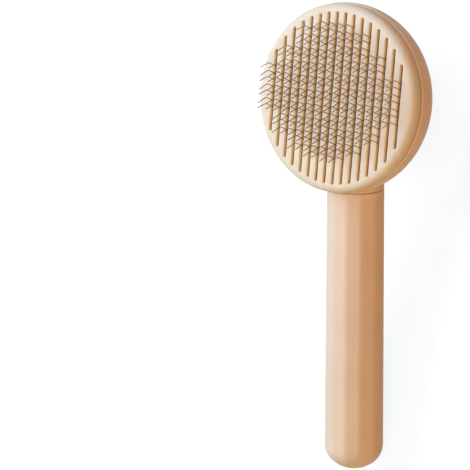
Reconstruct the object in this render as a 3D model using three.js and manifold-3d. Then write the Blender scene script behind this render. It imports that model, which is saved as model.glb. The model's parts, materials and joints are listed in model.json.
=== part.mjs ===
// A self-cleaning slicker brush that lies on its back, pins up.
// A slotted face plate slides forward over rows of bent wire pins when the button in the
// back of the head is pressed, and a coil spring returns it. The twelve-sided grip sits on
// a spigot of the head. X runs across the slots, Y points away from the handle, Z is up.
// The origin is the middle of the button's flat rear face. Depths are measured downwards
// from the front of the face plate, and stations run along the handle's axis.
import * as THREE from "three";
import { mergeGeometries, mergeVertices } from "three/addons/utils/BufferGeometryUtils.js";
import Module from "manifold-3d";

const wasm = await Module();
wasm.setup();

// ---------------------------------------------------------------- driving dimensions, mm

const seatGap = 0.3; // between two pieces that rest on each other
const slideGap = 0.4; // round a piece that slides in another
const overshoot = 1; // how far a cut runs past what it cuts
const rootOverlap = 0.5; // how far a part of a piece starts inside the rest of it
const roundSides = 44; // sides of the head's round shapes

// Face plate: a slotted disc with a soft edge, a skirt and four snap legs.
const plateRadius = 38.5;
const plateThickness = 1.8;
const plateEdgeWidth = 3.2;
const plateEdgeDrop = 2.8;
const skirtWall = 1.6;
const skirtDepth = 4.9;
const slotCount = 16;
const outerSlotShare = 0.876; // the outermost slots' place, as a share of the slot tips' radius
const slotWidth = 1.65;
const slotRimWidth = 3.4; // from the slots' tips to the plate's edge
const ejectTravel = 10.5;

// Pins: bent steel wires in pairs, one row in each slot.
const wireWidth = 0.4;
const kneeHeight = 4.6; // above the plate's front, as is the tip
const tipHeight = 10.2;
const rootSlope = 0.3; // a wire leans away from the handle up to its knee
const farTipSetback = 2.2; // and back towards it, a pair's far wire more than its near one
const nearTipSetback = 1.75;
const pairPitchRatio = 1.366; // from pair to pair, over the way from slot to slot
const pairSpacing = 2.55;
const kneeFieldOffset = 2.7;
const firstPairRatio = 1.446; // the pair the runs count from, in pair pitches from the field's middle
const pinRuns = {
  left: [[0, 7], [-3, 13], [-5, 18], [-6, 20]], // first pin and count, outermost slots first
  right: [[0, 7], [-3, 13], [-6, 18], [-7, 20]],
};

// Pin bed and the carrier that holds it in the shell.
const bedDepth = 5.2;
const bedThickness = 1.5;
const bedMargin = 1.9;
const carrierThickness = 2.0;
const carrierGap = 0.5; // round the carrier, in the shell
const carrierScrewAngle = THREE.MathUtils.degToRad(41.4); // from the X axis

// Snap legs of the face plate, each in the rib between two slots.
const legColumn = 4; // ribs from the middle rib
const legCentreShare = 0.371; // a leg's place in Y, as a share of the plate's radius
const legThickness = 2.0;
const legWidth = 6.5;
const barbHeight = 0.9;
const barbOverhang = 0.7;
const legSlit = 1.4;
const legSlitHeight = 7;

// Ejector carriage: a ring on the button's flange, with arms up to the snap legs.
const carriageStopGap = 0.5; // left in front of the carriage when the plate is out
const padThickness = 2.0;
const padMargin = 1.4;
const carriageRingThickness = 2.2;
const carriageHoleRadius = 7.6;
const carriageRingInset = 0.6; // inside the button's flange
const armWidth = 3.4;
const armInset = 1.5; // from the ring's hole to the arm's inner end
const armSlope = 5; // run of its inner edge
const screwHeadGap = 0.1;

// Rear shell: a deep dome with a collar round the button and a neck for the handle.
const shellStep = 0.4; // how far it stands out past the face plate
const shellWall = 2.2;
const rimGap = 0.4; // the seam between the skirt and the shell
const shellRimHeight = 1.6; // the straight rim before the dome
const domeDepth = 27;
const collarDepth = 35.3;
const collarWall = 2.5;
const collarRound = 1.6;
const screwBossRadius = 2.6;

// Push button.
const buttonRadius = 15.5;
const buttonWall = 1.8;
const buttonEdgeRound = 3.0;
const buttonFlangeWidth = 2.7;
const buttonFlangeThickness = 2.0;
const buttonBossRadius = 2.2;
const buttonBossCircle = 11.3;
const buttonBossHeight = 9;
const buttonBossFloor = 1; // left under the screw's hole
const buttonWebThickness = 1.6;

// Return spring, from the back of the carrier to a seat in the button.
const springRadius = 5.4; // of the wire's middle line
const springWire = 1.1;
const springTurns = 8;
const springSides = 5;
const springSteps = 8; // in a turn
const springEnd = 1.5; // straight stretch at each end
const springSeatRadius = 7.2;
const springSeatHeight = 4.2;
const guideRadius = 3.6;
const carrierGuideLength = 16;
const buttonGuideLength = 3.6;

// Handle: an axis that drops away behind the face, and a grip on the shell's spigot.
const handleTilt = THREE.MathUtils.degToRad(7.8);
const handleStartGap = 0.1; // from the shell's far side to station 0
const handleStartDepth = 21.2;
const jointStation = -1.5;
const neckLength = 18.5;
const gripSides = 12;
const gripApothem = 11.72; // at station 0
const gripEndApothem = 12.23; // where the round end begins
const gripCornerRadius = 5;
const gripLength = 120.3; // last station
const gripEndHeight = 10.5;
const gripWall = 3.3;
const gripBoreEnd = 12; // closed length at the round end
const spigotLength = 24;
const spigotRoot = 2; // its length inside the neck
const spigotCornerRadius = 1;
const spigotBoreRadius = 5.5;
const gripScrewStations = [7, 17];
const capThickness = 0.8;
const capRadius = 2.6;
const capGap = 0.1;
const capSides = 16;

// Screws.
const carrierScrewLength = 8;
const carriageScrewLength = 9;
const gripScrewLength = 5.2;
const screwHeadRadius = 2.2;
const screwHeadHeight = 1.3;
const screwRadius = 1.0;
const screwHoleGap = 0.2;
const screwSides = 8;
const screwHoleSides = 10;
const crossWidth = 0.6;
const crossLength = 2.6;
const crossDepth = 0.7;

// ------------------------------------------------------------------------ derived places

const slotTipRadius = plateRadius - slotRimWidth;
const slotPitch = (2 * outerSlotShare * slotTipRadius) / (slotCount - 1);
const pairPitch = pairPitchRatio * slotPitch;
const shellRadius = plateRadius + shellStep;
const shellInnerRadius = shellRadius - shellWall;
const handleStartY = -shellRadius - handleStartGap;
const bedBottomDepth = bedDepth + bedThickness;
const carrierDepth = bedBottomDepth + seatGap;
const carrierBackDepth = carrierDepth + carrierThickness;
const padDepth = carrierBackDepth + ejectTravel + carriageStopGap;
const padBackDepth = padDepth + padThickness;
const shellFrontDepth = skirtDepth + rimGap;
const domeStartDepth = shellFrontDepth + shellRimHeight;
const innerDomeDepth = domeDepth - shellWall;
const carrierScrewCircle = shellInnerRadius - screwBossRadius;
const carrierScrewX = carrierScrewCircle * Math.cos(carrierScrewAngle);
const carrierScrewY = carrierScrewCircle * Math.sin(carrierScrewAngle);
const buttonHoleRadius = buttonRadius + slideGap;
const flangeRadius = buttonRadius + buttonFlangeWidth;
const flangeBoreRadius = flangeRadius + slideGap;
const collarRadius = flangeBoreRadius + collarWall;
const collarInnerDepth = collarDepth - shellWall;
const flangeBackDepth = collarInnerDepth - seatGap;
const flangeDepth = flangeBackDepth - buttonFlangeThickness;
const carriageRingBackDepth = flangeDepth - seatGap;
const carriageRingDepth = carriageRingBackDepth - carriageRingThickness;
const gripEndStart = gripLength - gripEndHeight;
const gripEndReach = Math.hypot(
  Math.sin(handleTilt) * gripEndHeight,
  Math.cos(handleTilt) * gripEndApothem,
);
// The button's rear face and the grip's lowest point lie on one level.
const restDepth = handleStartDepth + Math.sin(handleTilt) * gripEndStart + gripEndReach;
const buttonFloorDepth = restDepth - buttonWall;
const springSeatDepth = buttonFloorDepth - springSeatHeight;
const legX = legColumn * slotPitch;
const legCentreY = legCentreShare * plateRadius;
const legReach = Math.hypot(legX, legCentreY);
// Where an arm's edge meets the near face of its leg, so that its rib stays clear of the barbs.
const armFootRadius = ((legX - legThickness / 2) * legReach - (armWidth / 2) * legCentreY) / legX;
const pinColumns = Array.from({ length: slotCount }, (_, i) => (i - (slotCount - 1) / 2) * slotPitch);

const heightOf = (depth) => restDepth - depth;

// ------------------------------------------------------------------------------ materials

const plastic = new THREE.MeshStandardMaterial({ color: 0xe2c4a5, roughness: 0.42, metalness: 0 });
const innerPlastic = new THREE.MeshStandardMaterial({ color: 0xd9c2a8, roughness: 0.55, metalness: 0 });
const padMaterial = new THREE.MeshStandardMaterial({ color: 0x8d8073, roughness: 0.8, metalness: 0 });
const steel = new THREE.MeshStandardMaterial({ color: 0xa9a49c, roughness: 0.32, metalness: 0.9 });

// ---------------------------------------------------------------------------- shape tools

// A closed geometry as a solid, whatever its seams: equal points are merged first.
function solidOf(geometry) {
  const bare = new THREE.BufferGeometry();
  const flat = geometry.index ? geometry.toNonIndexed() : geometry;
  bare.setAttribute("position", flat.getAttribute("position"));
  const merged = mergeVertices(bare, 1e-4);
  const corners = merged.index.array;
  const kept = [];
  for (let i = 0; i < corners.length; i += 3) {
    const [a, b, c] = [corners[i], corners[i + 1], corners[i + 2]];
    if (a !== b && b !== c && c !== a) kept.push(a, b, c);
  }
  return new wasm.Manifold(
    new wasm.Mesh({
      numProp: 3,
      vertProperties: merged.getAttribute("position").array,
      triVerts: new Uint32Array(kept),
    }),
  );
}

function geometryOf(solid) {
  const mesh = solid.getMesh();
  const points = new Float32Array(mesh.numVert * 3);
  for (let i = 0; i < mesh.numVert; i += 1) {
    const start = i * mesh.numProp;
    points.set(mesh.vertProperties.subarray(start, start + 3), 3 * i);
  }
  const indexed = new THREE.BufferGeometry();
  indexed.setAttribute("position", new THREE.BufferAttribute(points, 3));
  indexed.setIndex(new THREE.BufferAttribute(mesh.triVerts, 1));
  const geometry = indexed.toNonIndexed();
  geometry.computeVertexNormals();
  return geometry;
}

// A closed outline of [radius, depth] points, turned about the Z axis.
function revolved(outline, sides = roundSides) {
  const points = outline.map(([radius, depth]) => new THREE.Vector2(radius, heightOf(depth)));
  if (THREE.ShapeUtils.isClockWise(points)) points.reverse();
  points.push(points[0].clone());
  return solidOf(new THREE.LatheGeometry(points, sides).rotateX(Math.PI / 2));
}

// A flat outline raised from one depth up to another.
function plateBetween(shape, topDepth, bottomDepth) {
  const raised = new THREE.ExtrudeGeometry(shape, {
    depth: bottomDepth - topDepth,
    bevelEnabled: false,
    curveSegments: 4,
  });
  return raised.translate(0, 0, heightOf(bottomDepth));
}

function boxBetween(x, y, width, length, topDepth, bottomDepth) {
  const box = new THREE.BoxGeometry(width, length, bottomDepth - topDepth);
  return box.translate(x, y, heightOf((topDepth + bottomDepth) / 2));
}

function rodBetween(x, y, radius, topDepth, bottomDepth, sides = 16) {
  const rod = new THREE.CylinderGeometry(radius, radius, bottomDepth - topDepth, sides);
  return rod.rotateX(Math.PI / 2).translate(x, y, heightOf((topDepth + bottomDepth) / 2));
}

const joined = (first, ...others) => others.reduce((whole, piece) => whole.add(piece), first);
const cutBy = (first, ...others) => others.reduce((whole, piece) => whole.subtract(piece), first);

// The four places that mirror one point in X and in Y.
const fourWays = (x, y) => [[x, y], [-x, y], [-x, -y], [x, -y]];
const legPlaces = fourWays(legX, legCentreY);
const carrierScrewPlaces = fourWays(carrierScrewX, carrierScrewY);
const carriageScrewPlaces = [0, 1, 2, 3].map((quarter) => [
  buttonBossCircle * Math.cos((quarter * Math.PI) / 2),
  buttonBossCircle * Math.sin((quarter * Math.PI) / 2),
]);

// A quarter of an ellipse of [radius, depth] points between two depths.
function quarterRound(centreRadius, centreDepth, width, height, from, to, steps) {
  return Array.from({ length: steps + 1 }, (_, i) => {
    const angle = from + ((to - from) * i) / steps;
    return [centreRadius + width * Math.cos(angle), centreDepth + height * Math.sin(angle)];
  });
}

// ------------------------------------------------------------------------------ face plate

function slotShape(x) {
  const reach = Math.sqrt(slotTipRadius ** 2 - x ** 2) - slotWidth / 2;
  const slot = new THREE.Shape();
  slot.absarc(x, reach, slotWidth / 2, 0, Math.PI, false);
  slot.absarc(x, -reach, slotWidth / 2, Math.PI, 2 * Math.PI, false);
  return slot;
}

function facePlate() {
  const edge = quarterRound(
    plateRadius - plateEdgeWidth,
    plateEdgeDrop,
    plateEdgeWidth,
    plateEdgeDrop,
    -Math.PI / 2,
    0,
    4,
  );
  const skirtInner = plateRadius - skirtWall;
  const disc = revolved([
    [0, 0],
    ...edge,
    [plateRadius, skirtDepth],
    [skirtInner, skirtDepth],
    [skirtInner, plateThickness],
    [0, plateThickness],
  ]);
  const slots = pinColumns.map((x) => plateBetween(slotShape(x), -overshoot, plateThickness + overshoot));
  return joined(cutBy(disc, solidOf(mergeGeometries(slots))), ...legPlaces.map(snapLeg));
}

// A leg with a barb under the carriage's pad, split so that it can spring through.
function snapLeg([x, y]) {
  const barbTop = padBackDepth + seatGap;
  const legEnd = barbTop + barbHeight;
  const stem = solidOf(boxBetween(x, y, legThickness, legWidth, plateThickness - rootOverlap, legEnd));
  const barbWidth = legWidth + 2 * barbOverhang;
  const barb = solidOf(boxBetween(x, y, legThickness, barbWidth, barbTop, legEnd));
  const slitWidth = legThickness + overshoot;
  const slit = boxBetween(x, y, slitWidth, legSlit, legEnd - legSlitHeight, legEnd + overshoot);
  return cutBy(joined(stem, barb), solidOf(slit));
}

// ------------------------------------------------------------------------------------ pins

// A pin's place along its row, counted from the middle of the field: pins stand in pairs.
function placeInRow(pin) {
  const pair = Math.floor(pin / 2);
  const inPair = pin - 2 * pair;
  return (firstPairRatio - pair) * pairPitch - inPair * pairSpacing;
}

// Every pin as the [x, y] of its knee and how far its tip falls back from there.
function pinKnees() {
  return pinColumns.flatMap((x, column) => {
    const onLeft = column < slotCount / 2;
    const fromEdge = onLeft ? column : slotCount - 1 - column;
    const [first, count] = pinRuns[onLeft ? "left" : "right"][Math.floor(fromEdge / 2)];
    const turn = onLeft ? -1 : 1; // the left half is the right half turned half round
    return Array.from({ length: count }, (_, i) => {
      const y = kneeFieldOffset + turn * placeInRow(first + i);
      const isFirst = (first + i) % 2 === 0;
      return { x, y, setback: isFirst === onLeft ? nearTipSetback : farTipSetback };
    });
  });
}

// A square wire through its root in the bed, its knee and its tip.
function wireGeometry({ x, y, setback }) {
  const rootDepth = bedDepth + bedThickness / 2;
  const stations = [
    [y - rootSlope * (kneeHeight + rootDepth), heightOf(rootDepth)],
    [y, heightOf(-kneeHeight)],
    [y - setback, heightOf(-tipHeight)],
  ];
  const half = wireWidth / 2;
  const rings = stations.map(([ringY, z]) => [
    new THREE.Vector3(x - half, ringY - half, z),
    new THREE.Vector3(x + half, ringY - half, z),
    new THREE.Vector3(x + half, ringY + half, z),
    new THREE.Vector3(x - half, ringY + half, z),
  ]);
  return lofted(rings);
}

// A closed skin over rings of points that turn left about the way they advance.
function lofted(rings) {
  const sides = rings[0].length;
  const corners = [];
  const last = rings.length - 1;
  for (let side = 1; side < sides - 1; side += 1) {
    corners.push(rings[0][0], rings[0][side + 1], rings[0][side]);
    corners.push(rings[last][0], rings[last][side], rings[last][side + 1]);
  }
  for (let ring = 0; ring < last; ring += 1) {
    for (let side = 0; side < sides; side += 1) {
      const next = (side + 1) % sides;
      const [a, b] = [rings[ring][side], rings[ring][next]];
      const [c, d] = [rings[ring + 1][next], rings[ring + 1][side]];
      corners.push(a, b, c, a, c, d);
    }
  }
  return new THREE.BufferGeometry().setFromPoints(corners);
}

// The bed's outline: a step for each pair of columns, a margin past its pins.
function bedShape() {
  const knees = pinKnees();
  const rootShift = rootSlope * (kneeHeight + bedDepth + bedThickness / 2);
  const steps = [];
  for (let column = 0; column < slotCount; column += 2) {
    const pair = [pinColumns[column], pinColumns[column + 1]];
    const roots = knees.filter((knee) => pair.includes(knee.x)).map((knee) => knee.y - rootShift);
    steps.push({
      from: pair[0] - slotPitch / 2,
      to: pair[1] + slotPitch / 2,
      top: Math.max(...roots) + bedMargin,
      bottom: Math.min(...roots) - bedMargin,
    });
  }
  const outline = [
    ...steps.flatMap(({ from, to, bottom }) => [[from, bottom], [to, bottom]]),
    ...steps.reverse().flatMap(({ from, to, top }) => [[to, top], [from, top]]),
  ];
  return new THREE.Shape(outline.map(([x, y]) => new THREE.Vector2(x, y)));
}

// A hole for a leg through what lies between two depths.
function legHole(topDepth, bottomDepth) {
  const width = legThickness + 2 * seatGap;
  const length = legWidth + 2 * seatGap;
  return ([x, y]) => solidOf(boxBetween(x, y, width, length, topDepth - overshoot, bottomDepth + overshoot));
}

function pinBed() {
  const slab = solidOf(plateBetween(bedShape(), bedDepth, bedBottomDepth));
  const wires = solidOf(mergeGeometries(pinKnees().map(wireGeometry)));
  return cutBy(slab.add(wires), ...legPlaces.map(legHole(bedDepth, bedBottomDepth)));
}

// ------------------------------------------------------------------- carrier and carriage

// A screw's hole between two depths.
function screwHole(topDepth, bottomDepth) {
  const radius = screwRadius + screwHoleGap;
  return ([x, y]) => solidOf(rodBetween(x, y, radius, topDepth, bottomDepth, screwHoleSides));
}

function pinCarrier() {
  const carrierRadius = shellInnerRadius - carrierGap;
  const disc = solidOf(rodBetween(0, 0, carrierRadius, carrierDepth, carrierBackDepth, roundSides));
  const guideEnd = carrierBackDepth + carrierGuideLength;
  const guide = solidOf(rodBetween(0, 0, guideRadius, carrierDepth + rootOverlap, guideEnd));
  const holes = carrierScrewPlaces.map(screwHole(carrierDepth - overshoot, carrierBackDepth + overshoot));
  return cutBy(joined(disc, guide), ...holes, ...legPlaces.map(legHole(carrierDepth, carrierBackDepth)));
}

// A rib that stands on the ring and runs out to a leg's pad.
function carriageArm([x, y]) {
  const inner = carriageHoleRadius + armInset;
  const section = [
    [inner + armSlope, padDepth],
    [legReach, padDepth],
    [legReach, padBackDepth],
    [armFootRadius, padBackDepth],
    [flangeRadius - carriageRingInset, carriageRingBackDepth],
    [inner, carriageRingBackDepth],
    [inner, carriageRingDepth],
  ].map(([radius, depth]) => new THREE.Vector2(radius, heightOf(depth)));
  const arm = new THREE.ExtrudeGeometry(new THREE.Shape(section), { depth: armWidth, bevelEnabled: false });
  arm.translate(0, 0, -armWidth / 2).rotateX(Math.PI / 2).rotateZ(Math.atan2(y, x));
  return solidOf(arm);
}

function ejectorCarriage() {
  const ring = revolved([
    [carriageHoleRadius, carriageRingDepth],
    [flangeRadius - carriageRingInset, carriageRingDepth],
    [flangeRadius - carriageRingInset, carriageRingBackDepth],
    [carriageHoleRadius, carriageRingBackDepth],
  ]);
  const arms = legPlaces.map(carriageArm);
  const pads = legPlaces.map(([x, y]) => {
    const width = legThickness + 2 * padMargin;
    return solidOf(boxBetween(x, y, width, legWidth + 2 * padMargin, padDepth, padBackDepth));
  });
  const screwHoles = carriageScrewPlaces.map(screwHole(padDepth, carriageRingBackDepth + overshoot));
  const clearance = legPlaces.map(legHole(padDepth, carriageRingBackDepth));
  return cutBy(joined(ring, ...arms, ...pads), ...screwHoles, ...clearance);
}

// ------------------------------------------------------------------------------ rear shell

// Points of a dome's section between two radii, from the wide end to the narrow one.
function domeSection(radius, depth, toRadius, steps) {
  const end = Math.acos(toRadius / radius);
  return quarterRound(0, domeStartDepth, radius, depth, 0, end, steps);
}

function rearShell() {
  const outline = [
    [shellRadius, shellFrontDepth],
    ...domeSection(shellRadius, domeDepth, collarRadius, 7),
    ...quarterRound(
      collarRadius - collarRound,
      collarDepth - collarRound,
      collarRound,
      collarRound,
      0,
      Math.PI / 2,
      2,
    ),
    [0, collarDepth],
    [0, shellFrontDepth],
  ];
  const cavity = revolved([
    [shellInnerRadius, shellFrontDepth - overshoot],
    ...domeSection(shellInnerRadius, innerDomeDepth, flangeBoreRadius, 5),
    [flangeBoreRadius, collarInnerDepth],
    [0, collarInnerDepth],
    [0, shellFrontDepth - overshoot],
  ]);
  const buttonHole = solidOf(
    rodBetween(0, 0, buttonHoleRadius, collarInnerDepth - overshoot, collarDepth + overshoot, roundSides),
  );
  const outer = revolved(outline);
  const neck = handlePrism(gripApothem, gripCornerRadius, jointStation - neckLength, jointStation, 3);
  const bosses = carrierScrewPlaces.map(([x, y]) => {
    const post = solidOf(rodBetween(x, y, screwBossRadius, carrierBackDepth + seatGap, collarDepth, 12));
    return post.intersect(outer);
  });
  const pilots = carrierScrewPlaces.map(screwHole(carrierBackDepth, carrierBackDepth + carrierScrewLength));
  const shell = cutBy(joined(outer, neck), cavity, buttonHole);
  return cutBy(joined(shell, ...bosses, handleSpigot()), ...pilots);
}

// ------------------------------------------------------------------------------ the button

function pushButton() {
  const innerRadius = buttonRadius - buttonWall;
  const edge = quarterRound(
    buttonRadius - buttonEdgeRound,
    restDepth - buttonEdgeRound,
    buttonEdgeRound,
    buttonEdgeRound,
    0,
    Math.PI / 2,
    4,
  );
  const cup = revolved([
    [innerRadius, flangeDepth],
    [flangeRadius, flangeDepth],
    [flangeRadius, flangeBackDepth],
    [buttonRadius, flangeBackDepth],
    ...edge,
    [0, restDepth],
    [0, springSeatDepth - buttonGuideLength],
    [guideRadius, springSeatDepth - buttonGuideLength],
    [guideRadius, springSeatDepth],
    [springSeatRadius, springSeatDepth],
    [springSeatRadius, buttonFloorDepth],
    [innerRadius, buttonFloorDepth],
  ]);
  const bosses = carriageScrewPlaces.map(([x, y]) =>
    solidOf(rodBetween(x, y, buttonBossRadius, flangeDepth, flangeDepth + buttonBossHeight, 12)),
  );
  const webs = carriageScrewPlaces.map(([x, y]) => {
    const reach = innerRadius + rootOverlap;
    const web = new THREE.BoxGeometry(reach - buttonBossCircle, buttonWebThickness, buttonBossHeight);
    web.translate((reach + buttonBossCircle) / 2, 0, 0).rotateZ(Math.atan2(y, x));
    return solidOf(web.translate(0, 0, heightOf(flangeDepth + buttonBossHeight / 2)));
  });
  const pilotEnd = flangeDepth + buttonBossHeight - buttonBossFloor;
  const pilots = carriageScrewPlaces.map(screwHole(flangeDepth - overshoot, pilotEnd));
  return cutBy(joined(cup, ...bosses, ...webs), ...pilots);
}

// ------------------------------------------------------------------------------ the spring

// The wire's middle line: straight ends of one wire width, square to the seats they meet.
function springPath() {
  const top = heightOf(carrierBackDepth + seatGap);
  const bottom = heightOf(springSeatDepth - seatGap);
  const steps = springTurns * springSteps;
  const coilTop = top - springEnd;
  const coilBottom = bottom + springEnd;
  const points = [new THREE.Vector3(springRadius, 0, bottom)];
  for (let step = 0; step <= steps; step += 1) {
    const angle = (2 * Math.PI * step) / springSteps;
    points.push(
      new THREE.Vector3(
        springRadius * Math.cos(angle),
        springRadius * Math.sin(angle),
        THREE.MathUtils.lerp(coilBottom, coilTop, step / steps),
      ),
    );
  }
  points.push(new THREE.Vector3(springRadius, 0, top));
  return points;
}

// A tube over the path, its sides turning with the coil.
function springCoil() {
  const path = springPath();
  const rings = path.map((point, i) => {
    const atEnd = i === 0 || i === path.length - 1;
    const before = path[Math.max(i - 1, 0)];
    const after = path[Math.min(i + 1, path.length - 1)];
    const along = atEnd ? new THREE.Vector3(0, 0, 1) : after.clone().sub(before).normalize();
    const outward = new THREE.Vector3(point.x, point.y, 0).normalize();
    outward.addScaledVector(along, -outward.dot(along)).normalize();
    const across = new THREE.Vector3().crossVectors(along, outward);
    return Array.from({ length: springSides }, (_, side) => {
      const angle = (2 * Math.PI * side) / springSides;
      return point
        .clone()
        .addScaledVector(outward, (springWire / 2) * Math.cos(angle))
        .addScaledVector(across, (springWire / 2) * Math.sin(angle));
    });
  });
  return solidOf(lofted(rings));
}

// The least gap between two turns of the spring, measured on points of its middle line.
function leastSpringGap() {
  const curve = new THREE.CatmullRomCurve3(springPath());
  const samples = curve.getSpacedPoints(springTurns * 40);
  const apart = 20; // half a turn of samples
  let least = Infinity;
  samples.forEach((point, i) => {
    for (let j = i + apart; j < samples.length; j += 1) {
      least = Math.min(least, point.distanceTo(samples[j]));
    }
  });
  return least - springWire;
}

// ------------------------------------------------------------------------------ the handle

// One ring of the grip: a polygon with rounded corners, faded towards a circle.
function gripRing(apothem, cornerRadius, station, fade, pointsPerCorner) {
  const half = Math.PI / gripSides;
  const centreDistance = (apothem - cornerRadius) / Math.cos(half);
  const ring = [];
  for (let corner = 0; corner < gripSides; corner += 1) {
    const cornerAngle = (2 * corner + 1) * half;
    for (let i = 0; i < pointsPerCorner; i += 1) {
      const spread = pointsPerCorner > 1 ? i / (pointsPerCorner - 1) - 0.5 : 0;
      const arcAngle = cornerAngle + 2 * half * spread;
      const x = centreDistance * Math.cos(cornerAngle) + cornerRadius * Math.cos(arcAngle);
      const y = centreDistance * Math.sin(cornerAngle) + cornerRadius * Math.sin(arcAngle);
      const radius = THREE.MathUtils.lerp(Math.hypot(x, y), apothem, fade);
      const angle = Math.atan2(y, x);
      ring.push(new THREE.Vector3(radius * Math.cos(angle), radius * Math.sin(angle), station));
    }
  }
  return ring;
}

// From the handle's own frame, Z along its axis, to the brush's.
const handleFrame = new THREE.Matrix4()
  .makeRotationX(Math.PI / 2 + handleTilt)
  .setPosition(0, handleStartY, heightOf(handleStartDepth));

function handlePrism(apothem, cornerRadius, from, to, pointsPerCorner) {
  const ends = [from, to].map((station) => gripRing(apothem, cornerRadius, station, 0, pointsPerCorner));
  return solidOf(lofted(ends).applyMatrix4(handleFrame));
}

const spigotApothem = gripApothem - gripWall - seatGap;
const gripScrewSeat = gripApothem - capThickness - screwHeadHeight - screwHeadGap;

// A rod square to the grip's rear facet at a station, between two heights over the axis.
function rearRod(station, radius, inner, outer, sides) {
  const rod = new THREE.CylinderGeometry(radius, radius, outer - inner, sides);
  return rod.translate(0, -(inner + outer) / 2, station);
}

// The axis-square face of the shell's neck carries a hollow spigot into the grip.
function handleSpigot() {
  const body = handlePrism(spigotApothem, spigotCornerRadius, jointStation - spigotRoot, spigotLength, 2);
  const bore = new THREE.CylinderGeometry(spigotBoreRadius, spigotBoreRadius, spigotLength, 16);
  bore.rotateX(Math.PI / 2).translate(0, 0, spigotLength / 2 + overshoot);
  const pilots = gripScrewStations.map((station) => {
    const inner = spigotBoreRadius - overshoot;
    const outer = spigotApothem + overshoot;
    const pilot = rearRod(station, screwRadius + screwHoleGap, inner, outer, screwHoleSides);
    return solidOf(pilot.applyMatrix4(handleFrame));
  });
  return cutBy(body, solidOf(bore.applyMatrix4(handleFrame)), ...pilots);
}

// The grip in its own frame: a slightly flared prism with a round end, bored for the spigot.
function handleGrip() {
  const top = jointStation + seatGap;
  const endSteps = 5;
  const rings = [
    gripRing(gripApothem, gripCornerRadius, top, 0, 3),
    gripRing(gripEndApothem, gripCornerRadius, gripEndStart, 0, 3),
  ];
  for (let step = 1; step < endSteps; step += 1) {
    const angle = (Math.PI / 2) * (step / endSteps);
    const shrink = Math.cos(angle);
    const station = gripEndStart + gripEndHeight * Math.sin(angle);
    rings.push(gripRing(gripEndApothem * shrink, gripCornerRadius * shrink, station, step / endSteps, 3));
  }
  const tip = new THREE.Vector3(0, 0, gripLength);
  rings.push(rings[0].map(() => tip));
  const bore = [top - overshoot, gripLength - gripBoreEnd].map((station) =>
    gripRing(gripApothem - gripWall, spigotCornerRadius, station, 0, 2),
  );
  const screwCuts = gripScrewStations.flatMap((station) => [
    rearRod(station, screwRadius + screwHoleGap, spigotApothem, gripApothem, screwHoleSides),
    rearRod(station, capRadius + capGap, gripScrewSeat - screwHeadGap, gripApothem + overshoot, capSides),
  ]);
  return cutBy(solidOf(lofted(rings)), solidOf(lofted(bore)), ...screwCuts.map(solidOf));
}

// ---------------------------------------------------------------------------------- screws

// A pan-head screw with a cross in its head, its head's underside at Z = 0, pointing down.
function screw(length) {
  const profile = [
    [0, screwHeadHeight],
    [screwHeadRadius * 0.6, screwHeadHeight],
    [screwHeadRadius, screwHeadHeight * 0.45],
    [screwHeadRadius, 0],
    [screwRadius, 0],
    [screwRadius, 1 - length],
    [0, -length],
  ].map(([radius, height]) => new THREE.Vector2(radius, height));
  if (THREE.ShapeUtils.isClockWise(profile)) profile.reverse();
  profile.push(profile[0].clone());
  const body = solidOf(new THREE.LatheGeometry(profile, screwSides).rotateX(Math.PI / 2));
  const bar = new THREE.BoxGeometry(crossLength, crossWidth, 2 * crossDepth);
  bar.translate(0, 0, screwHeadHeight);
  const cross = solidOf(bar.clone()).add(solidOf(bar.clone().rotateZ(Math.PI / 2)));
  return geometryOf(body.subtract(cross));
}

// ---------------------------------------------------------------------------- the assembly

const brush = new THREE.Group();

function addPiece(parent, name, geometry, material) {
  const piece = new THREE.Mesh(geometry, material);
  piece.name = name;
  parent.add(piece);
  return piece;
}

const head = new THREE.Group();
brush.add(head);
addPiece(head, "rear_shell", geometryOf(rearShell()), plastic);
addPiece(head, "pin_carrier", geometryOf(pinCarrier()), innerPlastic);
addPiece(head, "pin_bed", geometryOf(pinBed()), padMaterial);
carrierScrewPlaces.forEach(([x, y], i) => {
  const piece = addPiece(head, `carrier_screw_${i + 1}`, screw(carrierScrewLength), steel);
  piece.position.set(x, y, heightOf(carrierDepth - screwHeadGap));
});
addPiece(head, "return_spring", geometryOf(springCoil()), steel);

const ejector = new THREE.Group();
brush.add(ejector);
addPiece(ejector, "face_plate", geometryOf(facePlate()), plastic);
addPiece(ejector, "ejector_carriage", geometryOf(ejectorCarriage()), innerPlastic);
addPiece(ejector, "push_button", geometryOf(pushButton()), plastic);
carriageScrewPlaces.forEach(([x, y], i) => {
  const piece = addPiece(ejector, `carriage_screw_${i + 1}`, screw(carriageScrewLength), steel);
  piece.position.set(x, y, heightOf(carriageRingDepth - screwHeadGap));
});

const handle = new THREE.Group();
handleFrame.decompose(handle.position, handle.quaternion, handle.scale);
brush.add(handle);
addPiece(handle, "handle_grip", geometryOf(handleGrip()), plastic);
gripScrewStations.forEach((station, i) => {
  const piece = addPiece(handle, `grip_screw_${i + 1}`, screw(gripScrewLength), steel);
  piece.rotation.x = Math.PI / 2;
  piece.position.set(0, -gripScrewSeat, station);
  const cap = rearRod(station, capRadius, gripApothem - capThickness, gripApothem, capSides);
  addPiece(handle, `screw_cap_${i + 1}`, cap, plastic);
});

console.log(`least gap in the return spring: ${leastSpringGap().toFixed(2)} mm`);

export default brush;
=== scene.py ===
"""A slicker brush on a white floor: pieces with their finish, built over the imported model."""
import json
import math

import bmesh
import bpy
from mathutils import Euler, Matrix, Vector


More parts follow.
